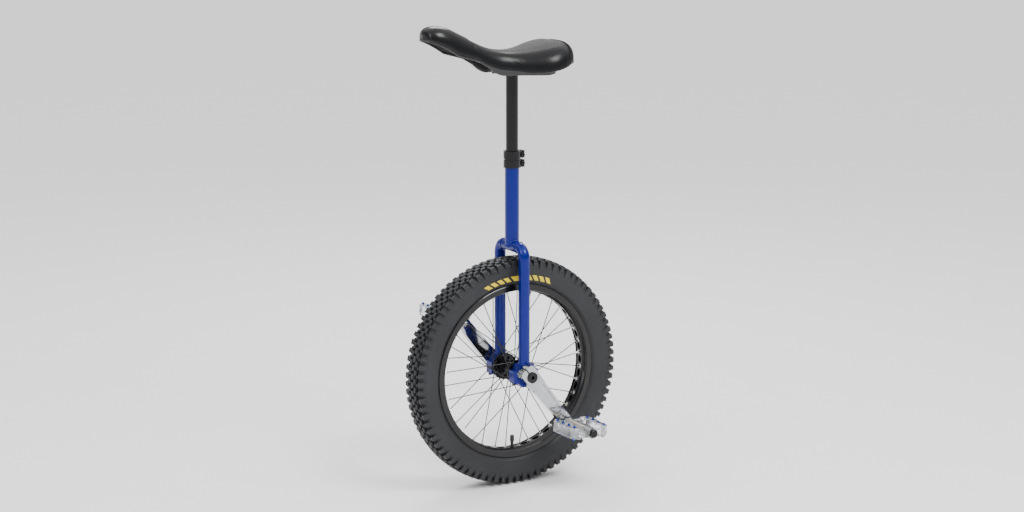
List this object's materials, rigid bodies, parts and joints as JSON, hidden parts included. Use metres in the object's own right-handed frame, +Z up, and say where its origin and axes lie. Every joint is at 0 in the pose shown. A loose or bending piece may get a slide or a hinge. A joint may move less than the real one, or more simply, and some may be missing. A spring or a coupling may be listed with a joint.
{
  "type": "unicycle",
  "caption": "Trials unicycle: knobbly tyre, drilled black rim, blue fork frame, polished cranks, clear pedals with blue pins, and a curved black saddle on a clamped post.",
  "frame": {"origin": "on the ground under the hub, in the wheel's middle plane", "axes": "+X forward, +Y to the rider's left along the axle, +Z up"},
  "size_m": [0.52, 0.395, 1.04],
  "materials": {
    "frame_paint": "deep gloss powder coat",
    "black_steel": "black oxide",
    "bearing_steel": "ground and polished",
    "bearing_seal": "matte",
    "black_alloy": "satin black anodised",
    "spindle_steel": "turned",
    "polished_alloy": "mirror polished",
    "spoke_black": "black coated",
    "nipple_silver": "nickel plated",
    "tyre_rubber": "moulded",
    "tube_rubber": "smooth",
    "black_plastic": "moulded",
    "bushing_bronze": "sintered",
    "clear_plastic": "clear polycarbonate",
    "pin_blue": "blue anodised",
    "saddle_cover": "coated cover, fine texture"
  },
  "bodies": {
    "frame": {"frame_seat_tube": "frame_paint", "frame_crown": "frame_paint", "left_fork_leg": "frame_paint", "right_fork_leg": "frame_paint", "left_bearing_housing": "frame_paint", "right_bearing_housing": "frame_paint", "left_bearing_cap": "frame_paint", "right_bearing_cap": "frame_paint", "bearing_cap_bolts": "black_steel", "left_bearing_outer_ring": "bearing_steel", "right_bearing_outer_ring": "bearing_steel", "bearing_seals": "bearing_seal", "seat_clamp": "black_alloy", "seat_clamp_bolts": "black_steel"},
    "left_balls": {"left_bearing_balls": "bearing_steel", "left_bearing_cage": "bearing_seal"},
    "right_balls": {"right_bearing_balls": "bearing_steel", "right_bearing_cage": "bearing_seal"},
    "wheel": {"left_bearing_inner_ring": "bearing_steel", "right_bearing_inner_ring": "bearing_steel", "hub_shell": "black_alloy", "hub_spindle": "spindle_steel", "left_crank_spacer": "black_alloy", "right_crank_spacer": "black_alloy", "left_crank": "polished_alloy", "right_crank": "polished_alloy", "crank_pinch_bolts": "black_steel", "left_preload_cap": "black_alloy", "right_preload_cap": "black_alloy", "spokes_left_leading": "spoke_black", "spokes_left_trailing": "spoke_black", "spokes_right_leading": "spoke_black", "spokes_right_trailing": "spoke_black", "spoke_nipples": "nipple_silver", "rim_eyelets": "nipple_silver", "rim": "black_alloy", "rim_strip": "tube_rubber", "inner_tube": "tube_rubber", "tyre": "tyre_rubber", "valve_stem": "tube_rubber", "valve_cap": "black_plastic", "left_pedal_axle": "spindle_steel", "right_pedal_axle": "spindle_steel", "pedal_axle_nuts": "spindle_steel"},
    "left_pedal": {"left_pedal_body": "clear_plastic", "left_pedal_pins": "pin_blue", "left_pedal_end_cap": "black_plastic", "left_pedal_bushing": "bushing_bronze"},
    "right_pedal": {"right_pedal_body": "clear_plastic", "right_pedal_pins": "pin_blue", "right_pedal_end_cap": "black_plastic", "right_pedal_bushing": "bushing_bronze"},
    "seat_post": {"seat_post": "black_alloy"},
    "saddle": {"seat_post_plate": "black_alloy", "saddle_bolts": "black_steel", "saddle_base": "black_plastic", "saddle_pad": "saddle_cover", "front_handle": "black_plastic", "rear_bumper": "black_plastic"}
  },
  "joints": [
    {"name": "wheel_spin", "type": "hinge", "parent": "frame", "child": "wheel", "pos_m": [0, 0, 0.26], "axis": [0, 1, 0], "continuous": true},
    {"name": "left_ball_orbit", "type": "hinge", "parent": "frame", "child": "left_balls", "pos_m": [0, 0, 0.26], "axis": [0, 1, 0], "continuous": true},
    {"name": "right_ball_orbit", "type": "hinge", "parent": "frame", "child": "right_balls", "pos_m": [0, 0, 0.26], "axis": [0, 1, 0], "continuous": true},
    {"name": "left_pedal_spin", "type": "hinge", "parent": "wheel", "child": "left_pedal", "pos_m": [-0.09399, 0, 0.1431], "axis": [0, 1, 0], "continuous": true},
    {"name": "right_pedal_spin", "type": "hinge", "parent": "wheel", "child": "right_pedal", "pos_m": [0.09399, 0, 0.3769], "axis": [0, 1, 0], "continuous": true},
    {"name": "seat_height", "type": "slide", "parent": "frame", "child": "seat_post", "axis": [0, 0, 1], "range_m": [-0.07, 0.05]},
    {"name": "seat_swivel", "type": "hinge", "parent": "seat_post", "child": "saddle", "pos_m": [0, 0, 0.932], "axis": [0, 0, 1], "range_deg": [-45, 45]}
  ],
  "couplings": [
    {"joint": "left_ball_orbit", "follows": "wheel_spin", "ratio": 0.4141},
    {"joint": "right_ball_orbit", "follows": "wheel_spin", "ratio": 0.4141}
  ]
}
